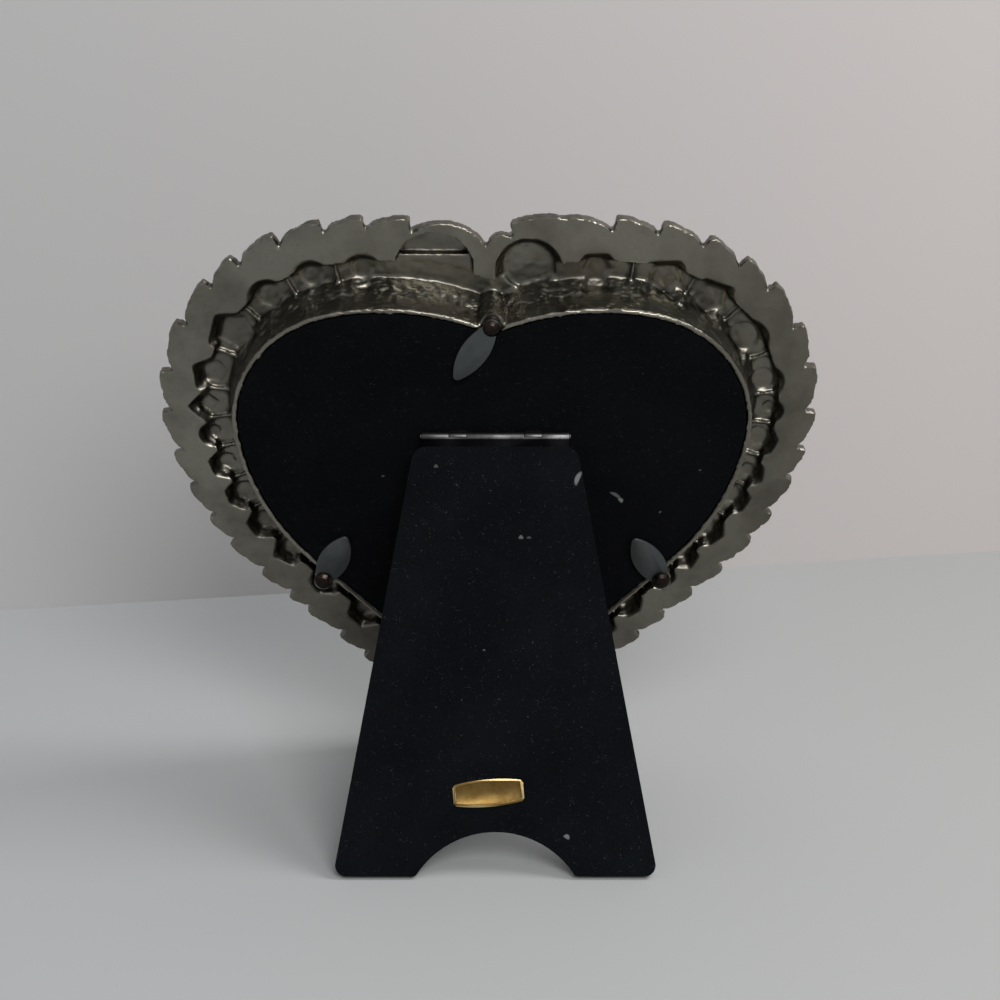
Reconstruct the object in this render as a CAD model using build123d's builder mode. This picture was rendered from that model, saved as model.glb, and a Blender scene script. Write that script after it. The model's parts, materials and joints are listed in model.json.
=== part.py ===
from build123d import *
from math import acos, atan2, cos, degrees, hypot, radians, sin, tan
import os

os.makedirs("parts", exist_ok=True)

# All lengths are in millimetres, all angles in degrees.
# The frame leans back on its easel leg. Its front faces -Y, the leg stands behind it at +Y.
lean = 15.0

# Heart of the window: the outer edge of the velvet-covered backing board
heart_tip = 18.0
flank_angle = 46.5
flank_length = 54.0
side_radius = 53.0
side_turn = 36.5
lobe_radius = 24.8
lobe_turn = 85.0
brow_radius = 49.5
window_shift = 0.7

# Casting
rim_band = 13.5
flange_thick = 2.3
leaf_depth = 3.2
leaf_step = 0.35
collar_height = 8.6
collar_wall = 1.0
collar_gap = 0.25
foot_height = 2.6
foot_width = 2.0
foot_root = 0.2
channel_grow = 7.3
channel_depth = 2.1
channel_rise = 0.8
lip_width = 2.0
lip_thick = 1.8
recess_depth = 2.5
recess_radius = 3.75
recess_draft = 36.0
rib_width = 0.55
rib_rise = 1.3
boss_wall = 0.6
boss_rise = 2.2
boss_top_share = 0.62
boss_sides = 8
relief_height = 1.3
relief_inset = 1.3
relief_root = 4.4
relief_width = 5.4
relief_tip_width = 0.7
relief_tip_height = 0.35
relief_sink = 0.3
relief_length = 8.7
over = 1.0

# Leaves of the rim, from the heart's tip up to its cleft: how long each one is, in shares of one leaf
left_leaf_shares = (
    0.90, 0.90, 0.92, 0.92, 0.90, 0.87, 1.15, 0.64, 0.96, 1.13, 0.86, 0.98,
    0.98, 1.13, 1.06, 1.30, 1.17, 0.87, 1.06, 1.06, 0.95, 1.02, 1.83,
)
right_leaf_shares = (
    0.90, 0.90, 0.92, 0.92, 0.90, 0.87, 0.89, 1.00, 1.02, 1.08, 0.86, 1.05,
    0.86, 1.00, 1.20, 1.08, 1.17, 0.90, 0.96, 1.06, 1.03, 2.28, 0.62,
)
low_leaf_share = 0.72
great_leaf_share = 1.35
great_leaf_from_share = 1.8
# Swell of a leaf's edge: places along the leaf and how far out each lies
leaf_edge_shares = ((0.22, 0.62), (0.48, 0.78), (0.74, 1.02))

# Recesses in the back of the casting: place along the rim from tip to cleft, size, sides (0 is round)
left_recess_shares = (
    (0.075, 0.95, 6), (0.125, 1.00, 5), (0.175, 0.95, 7), (0.232, 1.05, 6), (0.290, 1.00, 7),
    (0.345, 0.95, 5), (0.393, 1.00, 6), (0.440, 1.00, 7), (0.485, 0.90, 6), (0.527, 0.80, 0),
    (0.566, 0.85, 4), (0.612, 1.05, 5), (0.680, 1.30, 5), (0.750, 1.12, 0), (0.812, 1.05, 0),
    (0.872, 1.05, 0),
)
right_recess_shares = (
    (0.075, 0.95, 6), (0.122, 1.00, 7), (0.165, 0.95, 5), (0.209, 0.95, 6), (0.250, 1.00, 7),
    (0.300, 1.00, 6), (0.335, 0.80, 5), (0.380, 1.05, 7), (0.433, 1.05, 6), (0.472, 0.85, 5),
    (0.518, 1.05, 7), (0.560, 0.80, 0), (0.602, 1.10, 0), (0.671, 1.30, 0), (0.744, 1.20, 5),
    (0.810, 1.20, 5), (0.892, 1.12, 6),
)
flange_width_low_share = 0.19
flange_width_high_share = 0.35

# Large hollows beside the cleft: a half-moon over a dish on the left, an arch on the right
moon_x = -10.7
moon_place = 121.3
moon_radius = 7.8
moon_ledge = 123.6
moon_depth = 3.4
dish_foot = 116.8
dish_depth = 1.9
arch_hollow_x = 8.0
arch_hollow_place = 121.1
arch_hollow_radius = 6.7
arch_hollow_foot = 117.3
arch_hollow_depth = 3.0
hollow_draft = 30.0

# Stack in the window, from the lip to the velvet
glass_thick = 2.0
card_thick = 0.3
lining_thick = 0.2
board_thick = 2.65
velvet_thick = 0.4
stack_gap = 0.3
glue_gap = 0.03
velvet_below_collar = 0.2
glass_play = 0.3
pad_play = 0.6

# Turn clips and the posts that carry them
top_post_radius = 2.4
top_post_place = 113.2
side_post_radius = 2.0
side_post_x = 36.0
side_post_place = 52.6
rivet_radius = 0.9
rivet_seat_gap = 0.02
rivet_length = 4.5
rivet_head_height = 1.1
top_head_radius = 1.75
side_head_radius = 2.0
head_edge = 0.7
washer_thick = 0.3
top_washers = 3
washer_gap = 0.02
washer_radius = 1.8
clip_thick = 0.6
clip_play = 0.06
pin_play = 0.05
clip_root_radius = 1.7
clip_tip_radius = 0.9
clip_belly_share = 0.5
top_clip_reach = 14.4
top_clip_width = 5.6
side_clip_reach = 12.6
side_clip_width = 6.3
top_clip_angle = 238.0
left_clip_angle = 64.5
right_clip_angle = 120.5

# Hinge
hinge_shift = 1.4
hinge_place = 88.3
barrel_radius = 0.95
sheet_thick = 0.5
pin_radius = 0.4
barrel_length = 30.0
end_knuckle = 5.5
slim_knuckle = 3.7
knuckle_gap = 0.08
barrel_lift = 0.1
leaf_plate_length = 14.0
stop_reach = 0.2
stop_gap = 0.03
hinge_rivet_radius = 0.9
hinge_rivet_head = 1.5
hinge_rivet_head_thick = 0.5
hinge_rivet_spacing = 18.0
stop_clear_angle = 65.0
pin_head_radius = 0.7
pin_head_thick = 0.25
pin_end_play = 0.05

# Leg
leg_length = 88.3
leg_top = 2.1
leg_top_width = 33.0
leg_foot_width = 65.0
leg_top_corner = 3.0
leg_foot_corner = 2.2
leg_core_thick = 1.6
leg_velvet = 0.4
leg_lining = 0.2
arch_width = 32.0
arch_height = 8.8
arch_end_radius = 0.8
folded_angle = 2.2

# Label on the leg, a bare foil sticker
label_length = 14.2
label_end = 4.1
label_bow = 0.7
label_corner = 0.5
label_thick = 0.15
label_border = 0.6
label_raise = 0.1
label_place = 71.7
label_shift = -1.4
label_turn = 4.7

# Planes: the back of the frame, seen from behind, and the same plane centred on the window.
# The origin is the middle of the small flat that the heart's tip stands on.
back_normal = (0, cos(radians(lean)), -sin(radians(lean)))
tip_flat_depth = flange_thick / cos(radians(lean))
back_plane = Plane(origin=(0, tip_flat_depth / 2, 0), x_dir=(-1, 0, 0), z_dir=back_normal)
window_plane = Plane(
    origin=back_plane.from_local_coords((window_shift, 0, 0)), x_dir=(-1, 0, 0), z_dir=back_normal
)

# Levels along the frame's back normal: the flange's ground back is at zero
flange_front = -flange_thick
lip_back = flange_front + lip_thick
velvet_back = collar_height - velvet_below_collar
board_back = velvet_back - velvet_thick
board_front = board_back - board_thick
lining_front = board_front - lining_thick
glass_back = lip_back + glass_thick
card_back = glass_back + card_thick
pad_thick = lining_front - card_back - stack_gap
washer_back = collar_height + washer_thick
clip_front = washer_back + clip_play
clip_back = clip_front + clip_thick
head_front = clip_back + clip_play
hinge_level = velvet_back + barrel_lift + barrel_radius
bore_radius = barrel_radius - sheet_thick

# Leg levels along the leg's own back normal, from the hinge axis
leg_core_back = barrel_radius
leg_core_front = leg_core_back - leg_core_thick
leg_back = leg_core_back + leg_velvet
leg_front = leg_core_front - leg_lining


def heart_half(grow, shift=0):
    """Right half of the window's heart, grown outwards by grow, as edges from tip to cleft."""
    steep = radians(flank_angle)
    start = Vector(shift, heart_tip - grow / cos(steep))
    flank = PolarLine(start, flank_length + grow * tan(steep), flank_angle)
    side = JernArc(flank @ 1, flank % 1, side_radius + grow, side_turn)
    lobe = JernArc(side @ 1, side % 1, lobe_radius + grow, lobe_turn)
    turned = radians(flank_angle + side_turn + lobe_turn)
    brow = brow_radius + grow
    centre_x = (lobe @ 1).X - shift - brow * sin(turned)
    brow_turn = degrees(acos(-centre_x / brow) - atan2(-cos(turned), sin(turned)))
    return [flank, side, lobe, JernArc(lobe @ 1, lobe % 1, brow, brow_turn)]


def heart_face(grow):
    """Whole heart as a sketch face, grown outwards by grow."""
    with BuildLine() as outline:
        heart_half(grow)
        mirror(about=Plane.YZ)
    return make_face(outline.edges(), mode=Mode.PRIVATE)


# The rim's base curve, from the heart's tip to its cleft, which the leaves grow out of
with BuildLine() as rim_curve:
    heart_half(rim_band)
rim_half = rim_curve.wires()[0]
rim_length = rim_half.length


def rim_point(share, outward=0, side=1):
    """Point beside the rim curve at a share of its length, on the right (1) or left (-1) half."""
    place = rim_half.position_at(share * rim_length, position_mode=PositionMode.LENGTH)
    along = rim_half.tangent_at(share * rim_length, position_mode=PositionMode.LENGTH)
    return Vector(side * (place.X + along.Y * outward), place.Y - along.X * outward)


def rim_plane(share, inset, side, level=0):
    """Plane facing the back, set in from the rim curve, with its x axis along the rim."""
    spot = rim_point(share, -inset, side)
    outward = rim_point(share, 0, side) - spot
    origin = back_plane.from_local_coords((spot.X, spot.Y, level))
    out_point = back_plane.from_local_coords((spot.X + outward.X, spot.Y + outward.Y, level))
    return Plane(origin=origin, x_dir=(out_point - origin).cross(Vector(*back_normal)), z_dir=back_normal)


def leaf_places(shares):
    """Where each leaf starts and ends along the rim, as shares of the rim's length."""
    total = sum(shares)
    ends = [sum(shares[: count + 1]) / total for count in range(len(shares))]
    return list(zip([0] + ends[:-1], ends, shares))


def leaf_rise(start, share):
    """How far a leaf's tip stands out of the rim curve."""
    rise = leaf_depth * (low_leaf_share + (1 - low_leaf_share) * start)
    return rise * great_leaf_share if share > great_leaf_from_share else rise


def leaf_edge(shares, side):
    """Serrated edge of one half: each leaf swells in two curves and steps back at its tip."""
    for start, end, share in leaf_places(shares):
        rise = leaf_rise(start, share)
        root = rim_point(start, 0, side)
        swell = [rim_point(start + (end - start) * along, rise * out, side) for along, out in leaf_edge_shares]
        if end == 1:
            ThreePointArc(root, swell[1], rim_point(1, 0, side))
        else:
            tip = rim_point(end - leaf_step / rim_length, rise, side)
            ThreePointArc(root, swell[0], swell[1])
            ThreePointArc(swell[1], swell[2], tip)
            Line(tip, rim_point(end, 0, side))


def leaf_relief(start, end, share, side):
    """Raised leaf on the flange's front: a ridge that runs out to the leaf's tip."""
    size = min((end - start) * rim_length / relief_length, great_leaf_share)
    root = rim_point(start, -relief_root, side)
    tip = rim_point(end - leaf_step / rim_length, leaf_rise(start, share) - relief_inset, side)
    root = back_plane.from_local_coords((root.X, root.Y, flange_front))
    tip = back_plane.from_local_coords((tip.X, tip.Y, flange_front))
    along = tip - root
    across = Vector(*back_normal).cross(along)
    sections = []
    for place, width, height in (
        (root, relief_width * size, relief_height * size),
        (tip, relief_tip_width, relief_tip_height),
    ):
        with BuildSketch(Plane(origin=place, x_dir=across, z_dir=along)) as section:
            with BuildLine():
                Polyline((-width / 2, -relief_sink), (width / 2, -relief_sink), (0, height), close=True)
            make_face()
        sections.append(section.sketch)
    return loft(sections, ruled=True, mode=Mode.PRIVATE)


def recess_inset(place, radius):
    """Distance of a recess's centre from the rim curve: the flange is narrower low down."""
    share = flange_width_low_share + (flange_width_high_share - flange_width_low_share) * place
    return rim_band * share + radius


def recess(plane, radius, sides):
    """Cutter for a hollow in the back: drafted below the flange's back and straight above it."""
    floor = radius - recess_depth * tan(radians(recess_draft))
    with BuildPart(mode=Mode.PRIVATE) as hollow:
        if sides:
            with BuildSketch(plane) as mouth:
                RegularPolygon(radius, sides, major_radius=False)
            with BuildSketch(plane.offset(-recess_depth)) as bottom:
                RegularPolygon(floor, sides, major_radius=False)
            loft([mouth.sketch, bottom.sketch], ruled=True)
            extrude(mouth.sketch, amount=foot_height + over)
        else:
            with Locations(plane.location):
                Cone(floor, radius, recess_depth, align=(Align.CENTER, Align.CENTER, Align.MAX))
                Cylinder(radius, foot_height + over, align=(Align.CENTER, Align.CENTER, Align.MIN))
    return hollow.part


def boss(plane, radius, sides):
    """Faceted boss on the flange's front, over a hollow."""
    base = radius + boss_wall
    with BuildPart(mode=Mode.PRIVATE) as mound:
        with BuildSketch(plane.offset(flange_front + relief_sink)):
            RegularPolygon(base, sides or boss_sides, major_radius=False)
        with BuildSketch(plane.offset(flange_front - boss_rise)):
            RegularPolygon(base * boss_top_share, sides or boss_sides, major_radius=False)
        loft(ruled=True)
    return mound.part


def rib(side, before, after):
    """Thin radial rib across the channel, midway between two hollows."""
    inset = rim_band - (channel_grow + collar_gap + collar_wall) / 2
    root = rim_plane((before + after) / 2, inset, side, -recess_depth - foot_root)
    length = channel_grow - collar_gap
    on_root = (Align.CENTER, Align.CENTER, Align.MIN)
    return Box(rib_width, length, rib_rise + foot_root, align=on_root, mode=Mode.PRIVATE).moved(root.location)


rims = ((-1, left_recess_shares), (1, right_recess_shares))
recesses = [
    (rim_plane(place, recess_inset(place, size * recess_radius), side), size * recess_radius, sides)
    for side, shares in rims
    for place, size, sides in shares
]
moon_span = 3 * moon_radius
# Posts beside the window: where each stands, its radius, its washers and its rivet's head
posts = [
    (0, top_post_place, top_post_radius, top_washers, top_head_radius),
    (-side_post_x, side_post_place, side_post_radius, 1, side_head_radius),
    (side_post_x, side_post_place, side_post_radius, 1, side_head_radius),
]

# The casting: a flat flange with a leafy edge, a hollow ornament, and a collar round the window's stack
with BuildPart() as cast_frame:
    with BuildSketch(back_plane.offset(flange_front)):
        with BuildLine():
            leaf_edge(left_leaf_shares, -1)
            leaf_edge(right_leaf_shares, 1)
        make_face()
    extrude(amount=flange_thick)
    add(
        leaf_relief(start, end, share, side)
        for side, shares in ((-1, left_leaf_shares), (1, right_leaf_shares))
        for start, end, share in leaf_places(shares)[1:-1]
    )
    # On the front: a boss over each hollow and a raised band over the channel
    add(boss(*hollow) for hollow in recesses)
    with BuildSketch(back_plane.offset(flange_front - boss_rise)):
        with Locations((moon_x, moon_place)):
            Circle(moon_radius + boss_wall)
        with Locations((arch_hollow_x, arch_hollow_place)):
            Circle(arch_hollow_radius + boss_wall)
    extrude(amount=boss_rise + relief_sink)
    with BuildSketch(window_plane.offset(flange_front - channel_rise)):
        add(heart_face(channel_grow + boss_wall))
    extrude(amount=channel_rise + relief_sink)
    # In the back: a channel round the collar, the hollows that scallop it and those beside the cleft
    with BuildSketch(window_plane):
        add(heart_face(channel_grow))
    extrude(amount=-channel_depth, mode=Mode.SUBTRACT)
    for depth, foot in ((dish_depth, dish_foot), (moon_depth, moon_ledge)):
        with BuildSketch(back_plane):
            with Locations((moon_x, moon_place)):
                Circle(moon_radius)
            with Locations((moon_x, foot)):
                Rectangle(moon_span, moon_span, align=(Align.CENTER, Align.MAX), mode=Mode.SUBTRACT)
        extrude(amount=-depth, mode=Mode.SUBTRACT)
    with BuildSketch(back_plane):
        with Locations((arch_hollow_x, arch_hollow_place)):
            Circle(arch_hollow_radius)
            Rectangle(
                2 * arch_hollow_radius, arch_hollow_place - arch_hollow_foot, align=(Align.CENTER, Align.MAX)
            )
    extrude(amount=-arch_hollow_depth, taper=hollow_draft, mode=Mode.SUBTRACT)
    # Sloping foot of the collar, which starts below the hollows' floors
    with BuildSketch(window_plane.offset(-recess_depth - foot_root)):
        add(heart_face(collar_gap + collar_wall + foot_width))
    with BuildSketch(window_plane.offset(foot_height)):
        add(heart_face(collar_gap + collar_wall))
    loft(ruled=True)
    add((recess(*hollow) for hollow in recesses), mode=Mode.SUBTRACT)
    # Thin ribs that part the hollows
    add(rib(side, before[0], after[0]) for side, shares in rims for before, after in zip(shares, shares[1:]))
    # Collar, carried down to the front, and the posts beside it, each lowered for its extra washers
    with BuildSketch(window_plane.offset(flange_front)):
        add(heart_face(collar_gap + collar_wall))
    extrude(amount=collar_height - flange_front)
    for x, place, radius, washers, head_radius in posts:
        with BuildSketch(window_plane.offset(flange_front)):
            with Locations((x, place)):
                Circle(radius)
        extrude(amount=collar_height - flange_front)
        with BuildSketch(window_plane.offset(collar_height - (washers - 1) * (washer_thick + washer_gap))):
            with Locations((x, place)):
                Circle(radius)
        extrude(amount=washers * washer_thick, mode=Mode.SUBTRACT)
    # Window: the stack's recess, then the opening inside the lip
    with BuildSketch(window_plane.offset(lip_back)):
        add(heart_face(collar_gap))
    extrude(amount=collar_height - lip_back + over, mode=Mode.SUBTRACT)
    with BuildSketch(window_plane.offset(lip_back)):
        add(heart_face(-lip_width))
    extrude(amount=-(lip_thick + boss_rise + over), mode=Mode.SUBTRACT)
    # Rivet holes in the posts
    with BuildSketch(window_plane.offset(collar_height - rivet_length)):
        for x, place, *rest in posts:
            with Locations((x, place)):
                Circle(rivet_radius + rivet_seat_gap)
    extrude(amount=rivet_length, mode=Mode.SUBTRACT)
    # The tip is ground level, so that the heart stands on a small flat
    split(bisect_by=Plane.XY, keep=Keep.TOP)
cast_frame.part.label = "cast_frame"
export_step(cast_frame.part, "parts/cast_frame.step")

# The stack in the window, from the front: glass, a blank photo, a filler pad and the board's lining
with BuildPart() as window_glass:
    with BuildSketch(window_plane.offset(lip_back)):
        add(heart_face(-glass_play))
    extrude(amount=glass_thick)
window_glass.part.label = "window_glass"
export_step(window_glass.part, "parts/window_glass.step")

with BuildPart() as photo_insert:
    with BuildSketch(window_plane.offset(glass_back)):
        add(heart_face(-glass_play))
    extrude(amount=card_thick)
photo_insert.part.label = "photo_insert"
export_step(photo_insert.part, "parts/photo_insert.step")

with BuildPart() as filler_pad:
    with BuildSketch(window_plane.offset(card_back)):
        add(heart_face(-pad_play))
    extrude(amount=pad_thick)
filler_pad.part.label = "filler_pad"
export_step(filler_pad.part, "parts/filler_pad.step")

with BuildPart() as board_lining:
    with BuildSketch(window_plane.offset(lining_front)):
        add(heart_face(-pad_play))
    extrude(amount=lining_thick)
board_lining.part.label = "board_lining"
export_step(board_lining.part, "parts/board_lining.step")

# Hinge: its centre, the way each half is drawn, and the leg's angle when its foot is on the table
hinge_point = back_plane.from_local_coords((hinge_shift, hinge_place, hinge_level))
leg_angle = degrees(acos(hinge_point.Z / hypot(leg_length, leg_front)) + atan2(-leg_front, leg_length))
leg_up = (0, -sin(radians(leg_angle)), cos(radians(leg_angle)))
leg_normal = (0, cos(radians(leg_angle)), sin(radians(leg_angle)))
hinge_plane = Plane(origin=hinge_point, x_dir=(-1, 0, 0), z_dir=back_normal)
leg_plane = Plane(origin=hinge_point, x_dir=(-1, 0, 0), z_dir=leg_normal)
upper_profile = Plane(origin=hinge_point, x_dir=hinge_plane.y_dir, z_dir=(-1, 0, 0))
lower_profile = Plane(origin=hinge_point, x_dir=leg_up, z_dir=(-1, 0, 0))
open_angle = leg_angle + lean

# Knuckles along the barrel: where each starts from the hinge's centre, and how long it is
slim_start = barrel_length / 2 - end_knuckle
middle_knuckle = 2 * (slim_start - slim_knuckle)
upper_knuckles = [
    (start + knuckle_gap, slim_knuckle - 2 * knuckle_gap) for start in (-slim_start, slim_start - slim_knuckle)
]
lower_knuckles = [
    (-barrel_length / 2, end_knuckle),
    (-middle_knuckle / 2, middle_knuckle),
    (slim_start, end_knuckle),
]
plate_front = board_front - hinge_level
rivet_place = (leg_top + leaf_plate_length) / 2
clear_turn = radians(stop_clear_angle)
clear_reach = 2 * barrel_radius
rivet_sides = (-hinge_rivet_spacing / 2, hinge_rivet_spacing / 2)


def leg_point(along, out):
    """Point of the open leg's profile, given along the leg and out of it, in the upper leaf's profile."""
    turn = radians(open_angle)
    return (along * cos(turn) + out * sin(turn), out * cos(turn) - along * sin(turn))


# Upper leaf: two straps that go through the board to a plate in its inner face
with BuildPart() as hinge_upper_leaf:
    with BuildSketch(upper_profile.offset(-barrel_length / 2)):
        with Locations((bore_radius, plate_front)):
            Rectangle(leaf_plate_length - bore_radius, sheet_thick, align=(Align.MIN, Align.MIN))
    extrude(amount=barrel_length)
    for start, length in upper_knuckles:
        with BuildSketch(upper_profile.offset(start)):
            Circle(barrel_radius)
            with Locations((bore_radius, plate_front)):
                Rectangle(sheet_thick, -plate_front, align=(Align.MIN, Align.MIN))
            Circle(bore_radius, mode=Mode.SUBTRACT)
            # Room for the lower leaf's tongue, which meets this knuckle when the leg is open
            with BuildLine():
                Polyline(
                    (0, 0),
                    leg_point(stop_gap - stop_reach, 0),
                    leg_point(stop_gap - stop_reach, clear_reach),
                    (-clear_reach * sin(clear_turn), clear_reach * cos(clear_turn)),
                    close=True,
                )
            make_face(mode=Mode.SUBTRACT)
        extrude(amount=length)
    with BuildSketch(hinge_plane.offset(plate_front)):
        for side in rivet_sides:
            with Locations((side, rivet_place)):
                Circle(hinge_rivet_radius + glue_gap)
    extrude(amount=sheet_thick, mode=Mode.SUBTRACT)
hinge_upper_leaf.part.label = "hinge_upper_leaf"
export_step(hinge_upper_leaf.part, "parts/hinge_upper_leaf.step")

# Lower leaf: three knuckles on a plate let into the leg's back, with two tongues that act as stops
with BuildPart() as hinge_lower_leaf:
    with BuildSketch(lower_profile.offset(-barrel_length / 2)):
        with Locations((-stop_reach, bore_radius)):
            Rectangle(leaf_plate_length - stop_reach, sheet_thick, align=(Align.MAX, Align.MIN))
    extrude(amount=barrel_length)
    for start, length in lower_knuckles:
        with BuildSketch(lower_profile.offset(start)):
            Circle(barrel_radius)
            with Locations((0, bore_radius)):
                Rectangle(barrel_radius, sheet_thick, align=(Align.MAX, Align.MIN))
            Circle(bore_radius, mode=Mode.SUBTRACT)
        extrude(amount=length)
    with BuildSketch(leg_plane.offset(bore_radius)):
        for side in rivet_sides:
            with Locations((side, -rivet_place)):
                Circle(hinge_rivet_radius + glue_gap)
    extrude(amount=sheet_thick, mode=Mode.SUBTRACT)
hinge_lower_leaf.part.label = "hinge_lower_leaf"
export_step(hinge_lower_leaf.part, "parts/hinge_lower_leaf.step")

with BuildPart() as hinge_pin:
    for side in (-1, 1):
        with BuildSketch(upper_profile):
            Circle(pin_radius)
        extrude(amount=side * (barrel_length / 2 + pin_end_play))
        with BuildSketch(upper_profile.offset(side * (barrel_length / 2 + pin_end_play))):
            Circle(pin_head_radius)
        extrude(amount=side * pin_head_thick)
hinge_pin.part.label = "hinge_pin"
export_step(hinge_pin.part, "parts/hinge_pin.step")

# Room that the upper leaf takes in the board: the plate's bed, and a slot for each strap
with BuildPart() as upper_leaf_room:
    with BuildSketch(upper_profile.offset(-barrel_length / 2 - glue_gap)):
        with Locations((bore_radius - glue_gap, plate_front)):
            Rectangle(
                leaf_plate_length - bore_radius + 2 * glue_gap, sheet_thick, align=(Align.MIN, Align.MIN)
            )
    extrude(amount=barrel_length + 2 * glue_gap)
    for start, length in upper_knuckles:
        with BuildSketch(upper_profile.offset(start - glue_gap)):
            with Locations((bore_radius - glue_gap, plate_front)):
                Rectangle(sheet_thick + 2 * glue_gap, -plate_front, align=(Align.MIN, Align.MIN))
        extrude(amount=length + 2 * glue_gap)

with BuildPart() as backing_board:
    with BuildSketch(window_plane.offset(board_front)):
        add(heart_face(-velvet_thick - glue_gap))
    extrude(amount=board_thick)
    add(upper_leaf_room.part, mode=Mode.SUBTRACT)
    for side in rivet_sides:
        with BuildSketch(hinge_plane.offset(plate_front)):
            with Locations((side, rivet_place)):
                Circle(hinge_rivet_radius + glue_gap)
        extrude(amount=board_thick, mode=Mode.SUBTRACT)
        with BuildSketch(hinge_plane.offset(board_back - hinge_level)):
            with Locations((side, rivet_place)):
                Circle(hinge_rivet_head + glue_gap)
        extrude(amount=-hinge_rivet_head_thick, mode=Mode.SUBTRACT)
backing_board.part.label = "backing_board"
export_step(backing_board.part, "parts/backing_board.step")

with BuildPart() as board_velvet:
    with BuildSketch(window_plane.offset(board_front)):
        add(heart_face(0))
    extrude(amount=velvet_back - board_front)
    with BuildSketch(window_plane.offset(board_front)):
        add(heart_face(-velvet_thick))
    extrude(amount=board_thick, mode=Mode.SUBTRACT)
    add(upper_leaf_room.part, mode=Mode.SUBTRACT)
board_velvet.part.label = "board_velvet"
export_step(board_velvet.part, "parts/board_velvet.step")

with BuildPart() as board_rivets:
    for side in rivet_sides:
        with BuildSketch(hinge_plane.offset(plate_front)):
            with Locations((side, rivet_place)):
                Circle(hinge_rivet_radius)
        extrude(amount=board_thick)
        with BuildSketch(hinge_plane.offset(board_back - hinge_level)):
            with Locations((side, rivet_place)):
                Circle(hinge_rivet_head)
        extrude(amount=-hinge_rivet_head_thick)
board_rivets.part.label = "board_rivets"
export_step(board_rivets.part, "parts/board_rivets.step")

# Outline of the leg: a board that widens to its foot, with an arch cut out of the foot
arch_radius = (arch_width * arch_width / 4 + arch_height * arch_height) / (2 * arch_height)
with BuildSketch() as leg_outline:
    with BuildLine():
        Polyline(
            (-leg_top_width / 2, -leg_top),
            (leg_top_width / 2, -leg_top),
            (leg_foot_width / 2, -leg_length),
            (-leg_foot_width / 2, -leg_length),
            close=True,
        )
    make_face()
    with Locations((0, arch_height - leg_length - arch_radius)):
        Circle(arch_radius, mode=Mode.SUBTRACT)
    fillet(leg_outline.vertices().group_by(Axis.Y)[-1], leg_top_corner)
    feet = leg_outline.vertices().group_by(Axis.Y)[0].sort_by(Axis.X)
    fillet([feet[0], feet[-1]], leg_foot_corner)
    feet = leg_outline.vertices().group_by(Axis.Y)[0].sort_by(Axis.X)
    fillet(feet[1:-1], arch_end_radius)

with BuildSketch() as leg_lining_outline:
    add(leg_outline.sketch)
    offset(amount=-leg_velvet - glue_gap)

with BuildSketch() as leg_core_outline:
    add(leg_outline.sketch)
    offset(amount=-leg_velvet)

# Room that the lower leaf's plate takes in the leg's back
with BuildPart() as lower_leaf_room:
    with BuildSketch(lower_profile.offset(-barrel_length / 2 - glue_gap)):
        with Locations((0, barrel_radius)):
            Rectangle(leaf_plate_length + glue_gap, sheet_thick + glue_gap, align=(Align.MAX, Align.MAX))
    extrude(amount=barrel_length + 2 * glue_gap)

with BuildPart() as leg_board:
    with BuildSketch(leg_plane.offset(leg_core_front)):
        add(leg_lining_outline.sketch)
    extrude(amount=leg_core_thick)
    add(lower_leaf_room.part, mode=Mode.SUBTRACT)
    for side in rivet_sides:
        with BuildSketch(leg_plane.offset(leg_core_front)):
            with Locations((side, -rivet_place)):
                Circle(hinge_rivet_radius + glue_gap)
        extrude(amount=leg_core_thick, mode=Mode.SUBTRACT)
        with BuildSketch(leg_plane.offset(leg_core_front)):
            with Locations((side, -rivet_place)):
                Circle(hinge_rivet_head + glue_gap)
        extrude(amount=hinge_rivet_head_thick, mode=Mode.SUBTRACT)
leg_board.part.label = "leg_board"
export_step(leg_board.part, "parts/leg_board.step")

with BuildPart() as leg_velvet_cover:
    with BuildSketch(leg_plane.offset(leg_front)):
        add(leg_outline.sketch)
    extrude(amount=leg_back - leg_front)
    with BuildSketch(leg_plane.offset(leg_front)):
        add(leg_core_outline.sketch)
    extrude(amount=leg_core_back - leg_front, mode=Mode.SUBTRACT)
    add(lower_leaf_room.part, mode=Mode.SUBTRACT)
leg_velvet_cover.part.label = "leg_velvet"
export_step(leg_velvet_cover.part, "parts/leg_velvet.step")

with BuildPart() as leg_lining_sheet:
    with BuildSketch(leg_plane.offset(leg_front)):
        add(leg_lining_outline.sketch)
    extrude(amount=leg_lining)
leg_lining_sheet.part.label = "leg_lining"
export_step(leg_lining_sheet.part, "parts/leg_lining.step")

with BuildPart() as leg_rivets:
    for side in rivet_sides:
        with BuildSketch(leg_plane.offset(leg_core_front)):
            with Locations((side, -rivet_place)):
                Circle(hinge_rivet_radius)
        extrude(amount=leg_core_thick)
        with BuildSketch(leg_plane.offset(leg_core_front)):
            with Locations((side, -rivet_place)):
                Circle(hinge_rivet_head)
        extrude(amount=hinge_rivet_head_thick)
leg_rivets.part.label = "leg_rivets"
export_step(leg_rivets.part, "parts/leg_rivets.step")

# Sticker low on the leg: barrel-shaped, with a raised border
with BuildSketch() as label_outline:
    with BuildLine():
        for side in (-1, 1):
            ThreePointArc(
                (-label_length / 2, side * label_end / 2),
                (0, side * (label_end / 2 + label_bow)),
                (label_length / 2, side * label_end / 2),
            )
            Line((side * label_length / 2, -label_end / 2), (side * label_length / 2, label_end / 2))
    make_face()
    chamfer(label_outline.vertices(), label_corner)

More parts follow.
